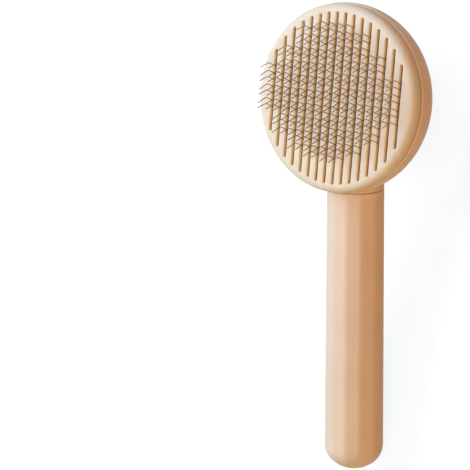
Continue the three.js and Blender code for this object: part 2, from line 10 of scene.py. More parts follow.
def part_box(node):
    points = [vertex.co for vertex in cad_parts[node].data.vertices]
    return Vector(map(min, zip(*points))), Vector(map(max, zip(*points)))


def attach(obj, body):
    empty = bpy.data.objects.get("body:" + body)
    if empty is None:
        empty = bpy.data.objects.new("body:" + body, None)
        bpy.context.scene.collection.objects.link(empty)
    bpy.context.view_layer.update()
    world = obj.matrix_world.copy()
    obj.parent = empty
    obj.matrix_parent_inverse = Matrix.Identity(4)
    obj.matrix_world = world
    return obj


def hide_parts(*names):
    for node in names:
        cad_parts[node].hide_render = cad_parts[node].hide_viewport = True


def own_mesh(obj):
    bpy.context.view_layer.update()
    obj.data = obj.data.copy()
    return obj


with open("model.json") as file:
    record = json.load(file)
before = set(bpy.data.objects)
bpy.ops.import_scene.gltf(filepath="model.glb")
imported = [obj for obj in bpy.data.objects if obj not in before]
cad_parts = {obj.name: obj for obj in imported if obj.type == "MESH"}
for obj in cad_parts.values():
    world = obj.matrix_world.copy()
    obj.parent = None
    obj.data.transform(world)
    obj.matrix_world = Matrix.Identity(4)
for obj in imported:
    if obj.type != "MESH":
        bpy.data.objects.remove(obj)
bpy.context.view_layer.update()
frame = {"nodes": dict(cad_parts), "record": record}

# ---------------------------------------------------------------- sizes of the part, mm

MM = 0.001

PLATE_RADIUS = 38.5
PLATE_THICKNESS = 1.8
PLATE_EDGE = (3.2, 2.8)  # width and drop of the soft edge
SKIRT_WALL = 1.6
SKIRT_DEPTH = 5.2  # just short of the shell's front, so that no light shows between them
SKIRT_ROUND = 0.8
SLOTS = 16
SLOT_TIP_RADIUS = 35.1
OUTER_SLOT_SHARE = 0.876  # of that radius, where the outermost slots lie
SLOT_PITCH = 2 * OUTER_SLOT_SHARE * SLOT_TIP_RADIUS / (SLOTS - 1)
SLOT_WIDTH = 1.38
SLOT_ROUND = 0.35  # of the slots' upper edges

WIRE_RADIUS = 0.2
KNEE_HEIGHT = 4.6
KNEE_BEND = 0.8  # length of the soft bend on each side of the knee
TIP_HEIGHT = 10.2
ROOT_SLOPE = 0.3
SETBACKS = (2.2, 1.75)  # of a pair's far wire and of its near one
PAIR_PITCH = 1.366 * SLOT_PITCH  # from one pair to the next, along a slot
PAIR_SPACING = 2.55  # inside a pair
FIELD_OFFSET = 2.7  # of the middle of all pins, along Y
PAIR_PHASE = 1.446 * PAIR_PITCH  # of a row's first pair, from that middle
PIN_RUNS = {  # first pin and count, outermost slots first
    "left": ((0, 7), (-3, 13), (-5, 18), (-6, 20)),
    "right": ((0, 7), (-3, 13), (-6, 18), (-7, 20)),
}
BED_DEPTH = 5.2
BED_THICKNESS = 1.5
BED_MARGIN = 1.9
BED_EDGE = 0.3

LEG_PLACE = (4 * SLOT_PITCH, 14.3)
LEG_THICKNESS = 2.0
LEG_WIDTH = 6.5
LEG_ROOT = 0.5  # how far a leg reaches into the plate
LEG_SLIT = (1.4, 7)  # width and height
BARB_DEPTH = 22.3
BARB_HEIGHT = 0.9
BARB_OVERHANG = 0.7

SHELL_RADIUS = 38.9
SHELL_WALL = 2.2
SHELL_FRONT = 5.3
SEAM_DEPTH = 0.6  # of the groove behind the shell's lip
SEAM_LIP = 0.9  # its thickness
DOME_START = 6.9
DOME_DEPTH = 27
COLLAR_DEPTH = 35.3
COLLAR_WALL = 2.5
COLLAR_ROUND = 1.6
POST_RADIUS = 2.6
POST_DEPTH = 9.3
POST_ANGLE = math.radians(41.4)  # from the X axis
POST_HOLE_LENGTH = 8

BUTTON_RADIUS = 15.5
BUTTON_WALL = 1.8
BUTTON_ROUND = 3.0
FLANGE_RADIUS = 18.2
FLANGE_THICKNESS = 2.0
BUTTON_HOLE_RADIUS = 15.9
FLANGE_BORE_RADIUS = 18.6
BOSS_RADIUS = 2.2
BOSS_CIRCLE = 11.3
BOSS_HEIGHT = 9
BOSS_FLOOR = 1
WEB_THICKNESS = 1.6
WEB_ROOT = 0.5  # how far a web reaches into the button's wall

SPRING_RADIUS = 5.4
SPRING_WIRE = 1.1
SPRING_TURNS = 8
SPRING_END = 1.5
SPRING_SEAT = (7.2, 4.2)  # radius and height
SPRING_GUIDE = (3.6, 3.6)

TILT = math.radians(7.8)
HANDLE_START = (-39, 21.2)  # Y and depth
JOINT_STATION = -1.5
JOINT_CHAMFER = 0.25
NECK_LENGTH = 18.5
GRIP_SIDES = 12
GRIP_APOTHEM = 11.72
GRIP_END_APOTHEM = 12.23
GRIP_CORNER = 5
GRIP_LENGTH = 120.3
GRIP_END_HEIGHT = 10.5
GRIP_END_TRIM = 0.13  # keeps the finer round end within the part's box
GRIP_TIP_SHARE = 0.002  # size of the ring that closes the round end
GRIP_WALL = 3.3
GRIP_BORE_END = 12  # closed length at the round end
SPIGOT_LENGTH = 24
SPIGOT_ROOT = 2  # how far the spigot and its shoulder reach into the neck
SPIGOT_CORNER = 1
SPIGOT_BORE_RADIUS = 5.5
SPIGOT_BORE_START = 1
SHOULDER_DROP = 1.1  # of the shoulder that fills the seam, below the neck's facets
SHOULDER_GAP = 0.05
SEAT_GAP = 0.3
SCREW_HOLE_RADIUS = 1.2
SCREW_HEAD_ROOM = 1.5  # under a cap
CAP_RADIUS = 2.6
CAP_THICKNESS = 0.8
CAP_GAP = 0.1
CAP_STATIONS = (7, 17)

CARRIER_DEPTH = BED_DEPTH + BED_THICKNESS + SEAT_GAP
GRIP_END_START = GRIP_LENGTH - GRIP_END_HEIGHT
REST_DEPTH = (
    HANDLE_START[1]
    + math.sin(TILT) * GRIP_END_START
    + math.hypot(math.sin(TILT) * GRIP_END_HEIGHT, math.cos(TILT) * GRIP_END_APOTHEM)
)
SPIGOT_APOTHEM = GRIP_APOTHEM - GRIP_WALL - SEAT_GAP
POST_CIRCLE = SHELL_RADIUS - SHELL_WALL - POST_RADIUS
COLUMNS = [(i - (SLOTS - 1) / 2) * SLOT_PITCH for i in range(SLOTS)]

OVERLAP = 1  # by which a cutter reaches past what it cuts

# Sides and steps of round shapes.
HEAD_SIDES = 192
CAVITY_SIDES = 128
BUTTON_SIDES = 144
BORE_SIDES = 48
RECESS_SIDES = 40
ROD_SIDES = 32
PILOT_SIDES = 20
WIRE_SIDES = 6
SPRING_SIDES = 12
SPRING_STEPS = 36  # in a turn
SLOT_END_STEPS = 10
FLARE_STEPS = 6
KNEE_STEPS = 3
CORNER_POINTS = 7
SPIGOT_CORNER_POINTS = 3
GRIP_SPANS = 6
GRIP_END_STEPS = 14

# Angles in degrees; an edge between two faces shades sharp above its piece's angle.
SHARP = 32
PLATE_SHARP = 35
FACET_SHARP = 24
BUTTON_SHARP = 28
WIRE_SHARP = 50
SPRING_SHARP = 60
SOFTENED_ABOVE = 40


def four_ways(x, y):
    """The places that mirror one point in X and in Y."""
    return [(x, y), (-x, y), (-x, -y), (x, -y)]


LEG_PLACES = four_ways(*LEG_PLACE)
POST_PLACES = four_ways(POST_CIRCLE * math.cos(POST_ANGLE), POST_CIRCLE * math.sin(POST_ANGLE))
BOSS_PLACES = [(BOSS_CIRCLE, 0), (0, BOSS_CIRCLE), (-BOSS_CIRCLE, 0), (0, -BOSS_CIRCLE)]


def height(depth):
    """Z of a depth under the front of the face plate."""
    return REST_DEPTH - depth


HANDLE = Matrix.Translation((0, HANDLE_START[0], height(HANDLE_START[1]))) @ Matrix.Rotation(
    math.pi / 2 + TILT, 4, "X"
)

# ------------------------------------------------------------------------ rings and outlines

SQUARE = ((-1, -1), (1, -1), (1, 1), (-1, 1))


def circle(radius, sides):
    """(x, y) points round the origin."""
    turns = [2 * math.pi * k / sides for k in range(sides)]
    return [(radius * math.cos(turn), radius * math.sin(turn)) for turn in turns]


def ring_about(middle, across, other, radius, sides):
    """A circle about a point, in the plane of two directions."""
    return [middle + across * a + other * b for a, b in circle(radius, sides)]


def arc(centre, radii, start, end, steps):
    """(radius, depth) points on a part of an ellipse."""
    turns = [start + (end - start) * i / steps for i in range(steps + 1)]
    return [(centre[0] + radii[0] * math.cos(t), centre[1] + radii[1] * math.sin(t)) for t in turns]


def rounded_edge(radius, depth, size, steps):
    """The quarter circle that rounds an outer edge at a radius and a depth."""
    return arc((radius - size, depth - size), (size, size), 0, math.pi / 2, steps)


def grip_ring(apothem, corner, station, fade=0, per_corner=CORNER_POINTS):
    """One ring of a polygon with rounded corners, faded towards a circle."""
    half = math.pi / GRIP_SIDES
    centre = (apothem - corner) / math.cos(half)
    ring = []
    for side in range(GRIP_SIDES):
        middle = (2 * side + 1) * half
        for i in range(per_corner):
            turn = middle + 2 * half * (i / (per_corner - 1) - 0.5)
            x = centre * math.cos(middle) + corner * math.cos(turn)
            y = centre * math.sin(middle) + corner * math.sin(turn)
            radius = math.hypot(x, y) * (1 - fade) + apothem * fade
            angle = math.atan2(y, x)
            ring.append((radius * math.cos(angle), radius * math.sin(angle), station))
    return ring


# ---------------------------------------------------------------------------- mesh tools


def new_object(name, mesh):
    obj = bpy.data.objects.new(name, mesh)
    bpy.context.scene.collection.objects.link(obj)
    return obj


def shaded(mesh, angle=SHARP):
    for polygon in mesh.polygons:
        polygon.use_smooth = True
    mesh.set_sharp_from_angle(angle=math.radians(angle))


def solid(name, points, faces):
    """An object from points in mm, its faces turned outwards."""
    mesh = bpy.data.meshes.new(name)
    mesh.from_pydata([Vector(p) * MM for p in points], [], faces)
    work = bmesh.new()
    work.from_mesh(mesh)
    bmesh.ops.remove_doubles(work, verts=work.verts, dist=1e-7)
    bmesh.ops.recalc_face_normals(work, faces=work.faces)
    work.to_mesh(mesh)
    work.free()
    shaded(mesh)
    return new_object(name, mesh)


def add_skin(points, faces, rings):
    """Adds a closed skin over rings with the same count; a flat face closes each end."""
    count = len(rings[0])
    start = len(points)
    last = start + (len(rings) - 1) * count
    for ring in rings:
        points.extend(ring)
    faces.append(tuple(range(start, start + count)))
    faces.append(tuple(range(last, last + count)))
    for low in range(start, last, count):
        for k in range(count):
            n = (k + 1) % count
            faces.append((low + k, low + n, low + count + n, low + count + k))


def lofted(name, rings, place=None):
    """A closed skin over rings, moved to its place if there is one."""
    points, faces = [], []
    add_skin(points, faces, rings)
    if place:
        points = [place @ Vector(p) for p in points]
    return solid(name, points, faces)


def revolved(name, outline, sides):
    """A closed outline of (radius, depth) turned about the Z axis."""
    points, rings, faces = [], [], []
    for radius, depth in outline:
        if radius == 0:
            rings.append(None)
            continue
        rings.append(list(range(len(points), len(points) + sides)))
        points.extend((x, y, height(depth)) for x, y in circle(radius, sides))
    for i, ring in enumerate(rings):
        other = rings[(i + 1) % len(rings)]
        if ring and other:
            for k in range(sides):
                n = (k + 1) % sides
                faces.append((ring[k], ring[n], other[n], other[k]))
        elif ring or other:
            faces.append(tuple(ring or other))
    return solid(name, points, faces)


def rod(name, x, y, radius, top, bottom, sides=ROD_SIDES):
    """An upright rod between two depths."""
    rings = [
        [(x + a, y + b, height(depth)) for a, b in circle(radius, sides)] for depth in (bottom, top)
    ]
    return lofted(name, rings)


def block(name, x, y, width, length, top, bottom):
    """An upright block between two depths."""
    rings = [
        [(x + width / 2 * a, y + length / 2 * b, height(depth)) for a, b in SQUARE]
        for depth in (bottom, top)
    ]
    return lofted(name, rings)


def faceted_rod(name, apothem, corner, start, end, per_corner=CORNER_POINTS):
    """A rod with the grip's facets, along the handle's axis."""
    rings = [grip_ring(apothem, corner, station, per_corner=per_corner) for station in (start, end)]
    return lofted(name, rings, HANDLE)


def axis_rod(name, radius, start, end):
    """A round rod along the handle's axis."""
    rings = [[(a, b, station) for a, b in circle(radius, BORE_SIDES)] for station in (start, end)]
    return lofted(name, rings, HANDLE)


def rear_rod(name, station, radius, inner, outer, sides):
    """A rod square to the grip's rear facet, between two heights over the axis."""
    rings = [[(a, -reach, station + b) for a, b in circle(radius, sides)] for reach in (inner, outer)]
    return lofted(name, rings, HANDLE)


def gathered(pieces):
    """Separate closed pieces as one object; the pieces are used up."""
    together = bmesh.new()
    for piece in pieces:
        together.from_mesh(piece.data)
        bpy.data.objects.remove(piece)
    mesh = bpy.data.meshes.new("gathered")
    together.to_mesh(mesh)
    together.free()
    return new_object("gathered", mesh)


def baked(obj):
    """The object with its modifiers applied."""
    bpy.context.view_layer.update()
    evaluated = obj.evaluated_get(bpy.context.evaluated_depsgraph_get())
    mesh = bpy.data.meshes.new_from_object(evaluated)
    obj.modifiers.clear()
    obj.data = mesh
    return obj


def combined(obj, other, operation):
    """A boolean with another object, which is used up."""
    modifier = obj.modifiers.new("combine", "BOOLEAN")
    modifier.operation = operation
    modifier.solver = "EXACT"
    modifier.object = other
    baked(obj)
    bpy.data.objects.remove(other)
    return obj


def softened(obj, width, segments):
    """Rounded edges wherever two faces meet at a wide enough angle."""
    modifier = obj.modifiers.new("soften", "BEVEL")
    modifier.width = width * MM
    modifier.segments = segments
    modifier.limit_method = "ANGLE"
    modifier.angle_limit = math.radians(SOFTENED_ABOVE)
    modifier.miter_outer = "MITER_ARC"
    obj.modifiers.new("normals", "WEIGHTED_NORMAL").keep_sharp = False
    return baked(obj)


# ------------------------------------------------------------------------------ node tools


def feed(tree, socket, source):
    """Links an output to a socket, or gives the socket a constant."""
    if isinstance(source, bpy.types.NodeSocket):
        tree.links.new(source, socket)
    else:
        socket.default_value = source


def maths(tree, operation, *sources):
    node = tree.nodes.new("ShaderNodeMath")
    node.operation = operation
    for socket, source in zip(node.inputs, sources):
        feed(tree, socket, source)
    return node.outputs["Value"]


def mapped(tree, source, low, high, between=(0, 1), smooth=False):
    """A value between two limits, mapped to low and high."""
    node = tree.nodes.new("ShaderNodeMapRange")
    if smooth:
        node.interpolation_type = "SMOOTHSTEP"
    node.inputs["From Min"].default_value, node.inputs["From Max"].default_value = between
    node.inputs["To Min"].default_value = low
    node.inputs["To Max"].default_value = high
    tree.links.new(source, node.inputs["Value"])
    return node.outputs["Result"]


def mixed(tree, factor, first, second):
    """A blend of two colours."""
    node = tree.nodes.new("ShaderNodeMix")
    node.data_type = "RGBA"
    sockets = [s for s in node.inputs if s.enabled and s.type in ("VALUE", "RGBA")]
    for socket, source in zip(sockets, (factor, first, second)):
        feed(tree, socket, source)
    return next(s for s in node.outputs if s.enabled)


def from_axis(tree):
    """How far a point lies from its object's Z axis, in metres."""
    where = tree.nodes.new("ShaderNodeTexCoord")
    flattened = tree.nodes.new("ShaderNodeVectorMath")
    flattened.operation = "MULTIPLY"
    flattened.inputs[1].default_value = (1, 1, 0)
    tree.links.new(where.outputs["Object"], flattened.inputs[0])
    reach = tree.nodes.new("ShaderNodeVectorMath")
    reach.operation = "LENGTH"
    tree.links.new(flattened.outputs["Vector"], reach.inputs[0])
    return reach.outputs["Value"]


def seen_directly(tree):
    """1 where the camera or a reflection looks, 0 for all other light."""
    path = tree.nodes.new("ShaderNodeLightPath")
    return maths(tree, "MAXIMUM", path.outputs["Is Camera Ray"], path.outputs["Is Glossy Ray"])


def noise(tree, scale, detail, roughness=0.5, distortion=0.0):
    where = tree.nodes.new("ShaderNodeTexCoord")
    node = tree.nodes.new("ShaderNodeTexNoise")
    node.inputs["Scale"].default_value = scale
    node.inputs["Detail"].default_value = detail
    node.inputs["Roughness"].default_value = roughness
    node.inputs["Distortion"].default_value = distortion
    tree.links.new(where.outputs["Object"], node.inputs["Vector"])
    return node.outputs["Fac"]


# ------------------------------------------------------------------------------- materials

CLOUD_PLACES = (0.3, 0.7)  # of the dark and of the light colour on a noise
UPRIGHT = (0.75, 0.25)  # Z of a normal, from where a face counts as a wall to fully so


def linear(*srgb):
    """Linear values of an 8-bit sRGB colour."""
    shares = [v / 255 for v in srgb]
    return tuple(v / 12.92 if v <= 0.04045 else ((v + 0.055) / 1.055) ** 2.4 for v in shares)


def material(name, metallic=0.0, ior=1.46):
    made = bpy.data.materials.new(name)
    made.use_nodes = True
    shader = made.node_tree.nodes["Principled BSDF"]
    shader.inputs["Metallic"].default_value = metallic
    shader.inputs["IOR"].default_value = ior
    return made, made.node_tree, shader


def clouded(tree, shader, source, dark, light):
    """Lets the base colour wander between two colours."""
    node = tree.nodes.new("ShaderNodeValToRGB")
    tree.links.new(source, node.inputs["Fac"])
    for element, place, colour in zip(node.color_ramp.elements, CLOUD_PLACES, (dark, light)):
        element.position = place
        element.color = (*colour, 1)
    tree.links.new(node.outputs["Color"], shader.inputs["Base Color"])


def glossed(tree, shader, source, roughness, swing):
    """Lets the roughness wander by a swing to both sides."""
    gloss = mapped(tree, source, roughness - swing, roughness + swing)
    tree.links.new(gloss, shader.inputs["Roughness"])


def bumped(tree, shader, source, distance, strength):
    node = tree.nodes.new("ShaderNodeBump")
    node.inputs["Distance"].default_value = distance
    node.inputs["Strength"].default_value = strength
    tree.links.new(source, node.inputs["Height"])
    tree.links.new(node.outputs["Normal"], shader.inputs["Normal"])


def moulded(name, dark, light, roughness, glow=0.3, reach=0.0015):
    """Moulded plastic: faint clouds of colour, fine grain and small changes of gloss."""
    made, tree, shader = material(name)
    clouded(tree, shader, noise(tree, 45, 4), dark, light)
    glossed(tree, shader, noise(tree, 160, 3), roughness, 0.05)
    bumped(tree, shader, noise(tree, 2600, 2), distance=0.00002, strength=0.35)
    shader.inputs["Specular IOR Level"].default_value = 0.3
    shader.inputs["Subsurface Weight"].default_value = glow
    shader.inputs["Subsurface Radius"].default_value = (1.0, 0.6, 0.35)
    shader.inputs["Subsurface Scale"].default_value = reach
    return made


def paint_wall_glow(look, colour, radius):
    """Paints a golden glow on upright walls within a radius: painted light, standing for the light that
    scatters inside thin plastic and bounces between the walls.
    """
    tree = look.node_tree
    base = tree.nodes["Principled BSDF"].inputs["Base Color"]
    where = tree.nodes.new("ShaderNodeTexCoord")
    parts = tree.nodes.new("ShaderNodeSeparateXYZ")
    tree.links.new(where.outputs["Normal"], parts.inputs[0])
    upright = mapped(tree, parts.outputs["Z"], 0, 1, between=UPRIGHT, smooth=True)
    within = maths(tree, "LESS_THAN", from_axis(tree), radius * MM)
    share = maths(tree, "MULTIPLY", upright, within)
    tree.links.new(mixed(tree, share, base.links[0].from_socket, (*colour, 1)), base)


def pad_rubber(name, dark, light):
    """Matt rubber with a fine grain."""
    made, tree, shader = material(name)
    cloud = noise(tree, 220, 5, roughness=0.6)
    clouded(tree, shader, cloud, dark, light)
    glossed(tree, shader, cloud, 0.775, 0.075)
    bumped(tree, shader, noise(tree, 3800, 3), distance=0.00004, strength=0.5)
    return made


def steel(name, dark, light, roughness):
    """Drawn steel: streaks and small changes of gloss."""
    made, tree, shader = material(name, metallic=1.0, ior=2.5)
    streak = noise(tree, 900, 4, roughness=0.6, distortion=0.4)
    clouded(tree, shader, streak, dark, light)
    glossed(tree, shader, streak, roughness, 0.08)
    bumped(tree, shader, streak, distance=0.00001, strength=0.3)
    return made


PLATE_PLASTIC = moulded(
    "plate_plastic", linear(235, 218, 201), linear(238, 223, 207), 0.45, glow=0.8, reach=0.004
)
# painted light: a golden glow on the slots' walls, standing for the light that scatters in the ribs and
# bounces between the walls
paint_wall_glow(PLATE_PLASTIC, linear(253, 225, 187), SLOT_TIP_RADIUS + SLOT_ROUND)
PLASTIC = moulded("satin_plastic", linear(231, 213, 192), linear(236, 219, 199), 0.48)
INNER = moulded("inner_plastic", linear(202, 148, 94), linear(210, 156, 102), 0.55)
# the pad's colour: rubber brown, kept darker as painted shade, so that the slots show deep shade between
# the pins
PAD = pad_rubber("pad_rubber", linear(144, 87, 46), linear(160, 101, 57))
WIRE = steel("wire_steel", linear(162, 132, 110), linear(192, 159, 135), 0.42)
SCREW_STEEL = steel("screw_steel", linear(170, 168, 164), linear(190, 188, 184), 0.3)


def finished(obj, look, body, slot, *nodes):
    """Gives a piece its material and its body, and hides the nodes that it stands for; the slot is not
    used.
    """
    obj.data.materials.clear()
    obj.data.materials.append(look)
    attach(obj, body)
    if nodes:
        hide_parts(*nodes)
    return obj


# -------------------------------------------------------------------------------- the pins


def place_in_row(pin):
    pair = pin // 2
    return PAIR_PHASE - pair * PAIR_PITCH - (pin - 2 * pair) * PAIR_SPACING


def pin_knees():
    """Every pin as the x and y of its knee and how far its tip falls back."""
    knees = []
    for column, x in enumerate(COLUMNS):
        left = column < SLOTS // 2
        from_edge = column if left else SLOTS - 1 - column
        first, count = PIN_RUNS["left" if left else "right"][from_edge // 2]
        turn = -1 if left else 1
        for pin in range(first, first + count):
            is_first = pin % 2 == 0
            y = FIELD_OFFSET + turn * place_in_row(pin)
            knees.append((x, y, SETBACKS[1 if is_first == left else 0]))
    return knees


def wire_path(x, y, setback):
    """The middle line of a wire: straight root, a soft knee and a straight tip."""
    root_depth = BED_DEPTH + BED_THICKNESS / 2
    root = Vector((x, y - ROOT_SLOPE * (KNEE_HEIGHT + root_depth), height(root_depth)))
    knee = Vector((x, y, height(-KNEE_HEIGHT)))
    tip = Vector((x, y - setback, height(-TIP_HEIGHT + WIRE_RADIUS)))
    before = knee + (root - knee).normalized() * KNEE_BEND
    after = knee + (tip - knee).normalized() * KNEE_BEND
    path = [root]
    for i in range(KNEE_STEPS + 1):
        t = i / KNEE_STEPS
        path.append(before * (1 - t) ** 2 + knee * (2 * t * (1 - t)) + after * t ** 2)
    path.append(tip)
    return path


def wire_pins():
    """All wires, each a closed tube along its path."""
    points, faces = [], []
    across = Vector((1, 0, 0))
    for x, y, setback in pin_knees():
        path = wire_path(x, y, setback)
        rings = []
        for i, point in enumerate(path):
            along = (path[min(i + 1, len(path) - 1)] - path[max(i - 1, 0)]).normalized()
            rings.append(ring_about(point, across, along.cross(across), WIRE_RADIUS, WIRE_SIDES))
        add_skin(points, faces, rings)
    pins = solid("wire_pins", points, faces)
    shaded(pins.data, WIRE_SHARP)
    return pins


def pin_pad():
    """The pad: one step for each pair of columns, a margin past its pins."""
    shift = ROOT_SLOPE * (KNEE_HEIGHT + BED_DEPTH + BED_THICKNESS / 2)
    knees = pin_knees()
    lower, upper = [], []
    for column in range(0, SLOTS, 2):
        pair = COLUMNS[column:column + 2]
        roots = [y - shift for x, y, _ in knees if x in pair]
        sides = (pair[0] - SLOT_PITCH / 2, pair[1] + SLOT_PITCH / 2)
        lower += [(x, min(roots) - BED_MARGIN) for x in sides]
        upper += [(x, max(roots) + BED_MARGIN) for x in sides]
    outline = lower + upper[::-1]
    rings = [
        [(x, y, height(depth)) for x, y in outline] for depth in (BED_DEPTH + BED_THICKNESS, BED_DEPTH)
    ]
    pad = lofted("pin_pad", rings)
    width = LEG_THICKNESS + 2 * SEAT_GAP
    length = LEG_WIDTH + 2 * SEAT_GAP
    holes = [
        block("hole", x, y, width, length, BED_DEPTH - OVERLAP, CARRIER_DEPTH) for x, y in LEG_PLACES
    ]
    combined(pad, gathered(holes), "DIFFERENCE")
    return softened(pad, BED_EDGE, 2)


finished(wire_pins(), WIRE, "brush_body", "steel", "pin_bed")
finished(pin_pad(), PAD, "brush_body", "pin_bed", "pin_bed")

# -------------------------------------------------------------------------- the face plate


def slot_ring(x, reach, half, depth):
    """The outline of one slot at one depth, with round ends."""
    ring = []
    for middle, start in ((reach, 0), (-reach, math.pi)):
        for i in range(SLOT_END_STEPS + 1):
            turn = start + math.pi * i / SLOT_END_STEPS
            ring.append((x + half * math.cos(turn), middle + half * math.sin(turn), height(depth)))
    return ring


def slot_cutters():
    """One prism with round ends for each slot, flared at the top, all in one object."""
    profile = [(PLATE_THICKNESS + OVERLAP, SLOT_WIDTH / 2)]
    for i in range(FLARE_STEPS + 1):
        turn = math.pi / 2 * i / FLARE_STEPS
        half = SLOT_WIDTH / 2 + SLOT_ROUND * (1 - math.cos(turn))
        profile.append((SLOT_ROUND * (1 - math.sin(turn)), half))
    profile.append((-OVERLAP, SLOT_WIDTH / 2 + SLOT_ROUND))
    points, faces = [], []
    for x in COLUMNS:
        reach = math.sqrt(SLOT_TIP_RADIUS ** 2 - x ** 2) - SLOT_WIDTH / 2
        add_skin(points, faces, [slot_ring(x, reach, half, depth) for depth, half in profile])
    return solid("slot_cutters", points, faces)


def snap_leg(x, y):
    """A split leg with a barb on each side of its end."""
    end = BARB_DEPTH + BARB_HEIGHT
    half = LEG_WIDTH / 2
    slit_width, slit_height = LEG_SLIT
    right = [
        (half, PLATE_THICKNESS - LEG_ROOT),
        (half, BARB_DEPTH),
        (half + BARB_OVERHANG, BARB_DEPTH),
        (half, end),
        (slit_width / 2, end),
        (slit_width / 2, end - slit_height),
    ]
    outline = right + [(-along, depth) for along, depth in reversed(right)]
    rings = [
        [(x + side * LEG_THICKNESS / 2, y + along, height(depth)) for along, depth in outline]
        for side in (-1, 1)
    ]
    return lofted("leg", rings)


def face_plate():
    """The slotted plate with its soft edge, its skirt and its legs."""
    width, drop = PLATE_EDGE
    inner = PLATE_RADIUS - SKIRT_WALL
    outline = [
        (0, 0),
        *arc((PLATE_RADIUS - width, drop), (width, drop), -math.pi / 2, 0, steps=12),
        *rounded_edge(PLATE_RADIUS, SKIRT_DEPTH, SKIRT_ROUND, steps=5),
        (inner, SKIRT_DEPTH),
        (inner, PLATE_THICKNESS),
        (0, PLATE_THICKNESS),
    ]
    plate = revolved("slotted_plate", outline, HEAD_SIDES)
    combined(plate, gathered([snap_leg(x, y) for x, y in LEG_PLACES]), "UNION")
    combined(plate, slot_cutters(), "DIFFERENCE")
    shaded(plate.data, PLATE_SHARP)
    plate.modifiers.new("normals", "WEIGHTED_NORMAL").keep_sharp = True
    return baked(plate)


finished(face_plate(), PLATE_PLASTIC, "ejector", "body_plastic", "face_plate")

# ------------------------------------------------------------------------------ the handle


def grip_screw_holes(inner, outer):
    return [
        rear_rod("hole", station, SCREW_HOLE_RADIUS, inner, outer, PILOT_SIDES)
        for station in CAP_STATIONS
    ]


def handle_grip():
    """The grip: facets that widen a little, a round end, a bore, two screw holes and recesses."""
    top = JOINT_STATION + SEAT_GAP
    rings = [
        grip_ring(GRIP_APOTHEM - JOINT_CHAMFER, GRIP_CORNER, top),
        grip_ring(GRIP_APOTHEM, GRIP_CORNER, top + JOINT_CHAMFER),
    ]
    for i in range(1, GRIP_SPANS + 1):
        t = i / GRIP_SPANS
        apothem = GRIP_APOTHEM + (GRIP_END_APOTHEM - GRIP_APOTHEM) * t
        rings.append(grip_ring(apothem, GRIP_CORNER, top + (GRIP_END_START - top) * t))
    for i in range(1, GRIP_END_STEPS):
        fade = i / GRIP_END_STEPS
        shrink = math.cos(math.pi / 2 * fade)
        rise = (GRIP_END_HEIGHT - GRIP_END_TRIM) * math.sin(math.pi / 2 * fade)
        station = GRIP_END_START + rise
        rings.append(grip_ring(GRIP_END_APOTHEM * shrink, GRIP_CORNER * shrink, station, fade))
    tip = GRIP_LENGTH - GRIP_END_TRIM
    rings.append([(GRIP_TIP_SHARE * x, GRIP_TIP_SHARE * y, tip) for x, y, _ in rings[0]])
    grip = lofted("grip", rings, HANDLE)
    bore = faceted_rod(
        "bore",
        GRIP_APOTHEM - GRIP_WALL,
        SPIGOT_CORNER,
        top - OVERLAP,
        GRIP_LENGTH - GRIP_BORE_END,
        SPIGOT_CORNER_POINTS,
    )
    combined(grip, bore, "DIFFERENCE")
    combined(grip, gathered(grip_screw_holes(SPIGOT_APOTHEM, GRIP_APOTHEM)), "DIFFERENCE")
    seat = GRIP_APOTHEM - CAP_THICKNESS - SCREW_HEAD_ROOM
    recesses = [
        rear_rod("recess", station, CAP_RADIUS + CAP_GAP, seat, GRIP_APOTHEM + OVERLAP, RECESS_SIDES)
        for station in CAP_STATIONS
    ]
    combined(grip, gathered(recesses), "DIFFERENCE")
    shaded(grip.data, FACET_SHARP)
    return grip


finished(handle_grip(), PLASTIC, "brush_body", "body_plastic", "handle_grip")

# -------------------------------------------------------------------------- the rear shell


def shell_form():
    """The outer form of the bowl and its collar, with the lip and the groove of the seam."""
    collar = FLANGE_BORE_RADIUS + COLLAR_WALL
    inner = SHELL_RADIUS - SHELL_WALL
    lip = SEAM_LIP / 2
    groove = SHELL_FRONT + SEAM_DEPTH
    outline = [
        (inner, groove),
        (SHELL_RADIUS - SEAM_LIP, groove),
        *arc((SHELL_RADIUS - lip, SHELL_FRONT + lip), (lip, lip), -math.pi, 0, steps=8),
        *arc((0, DOME_START), (SHELL_RADIUS, DOME_DEPTH), 0, math.acos(collar / SHELL_RADIUS), steps=24),
        *rounded_edge(collar, COLLAR_DEPTH, COLLAR_ROUND, steps=8),
        (0, COLLAR_DEPTH),
        (0, groove),
    ]
    return revolved("head_shell", outline, HEAD_SIDES)


def shell_cavity():
    """The space inside the bowl and its collar."""
    inner = SHELL_RADIUS - SHELL_WALL
    end = math.acos(FLANGE_BORE_RADIUS / inner)
    outline = [
        (inner, SHELL_FRONT - OVERLAP),
        *arc((0, DOME_START), (inner, DOME_DEPTH - SHELL_WALL), 0, end, steps=16),
        (FLANGE_BORE_RADIUS, COLLAR_DEPTH - SHELL_WALL),
        (0, COLLAR_DEPTH - SHELL_WALL),
        (0, SHELL_FRONT - OVERLAP),
    ]
    return revolved("cavity", outline, CAVITY_SIDES)


def neck():
    """The head's stub of handle, up to the seam."""
    rings = [
        grip_ring(GRIP_APOTHEM, GRIP_CORNER, JOINT_STATION - NECK_LENGTH),
        grip_ring(GRIP_APOTHEM, GRIP_CORNER, JOINT_STATION - JOINT_CHAMFER),
        grip_ring(GRIP_APOTHEM - JOINT_CHAMFER, GRIP_CORNER, JOINT_STATION),
    ]
    return lofted("neck", rings, HANDLE)


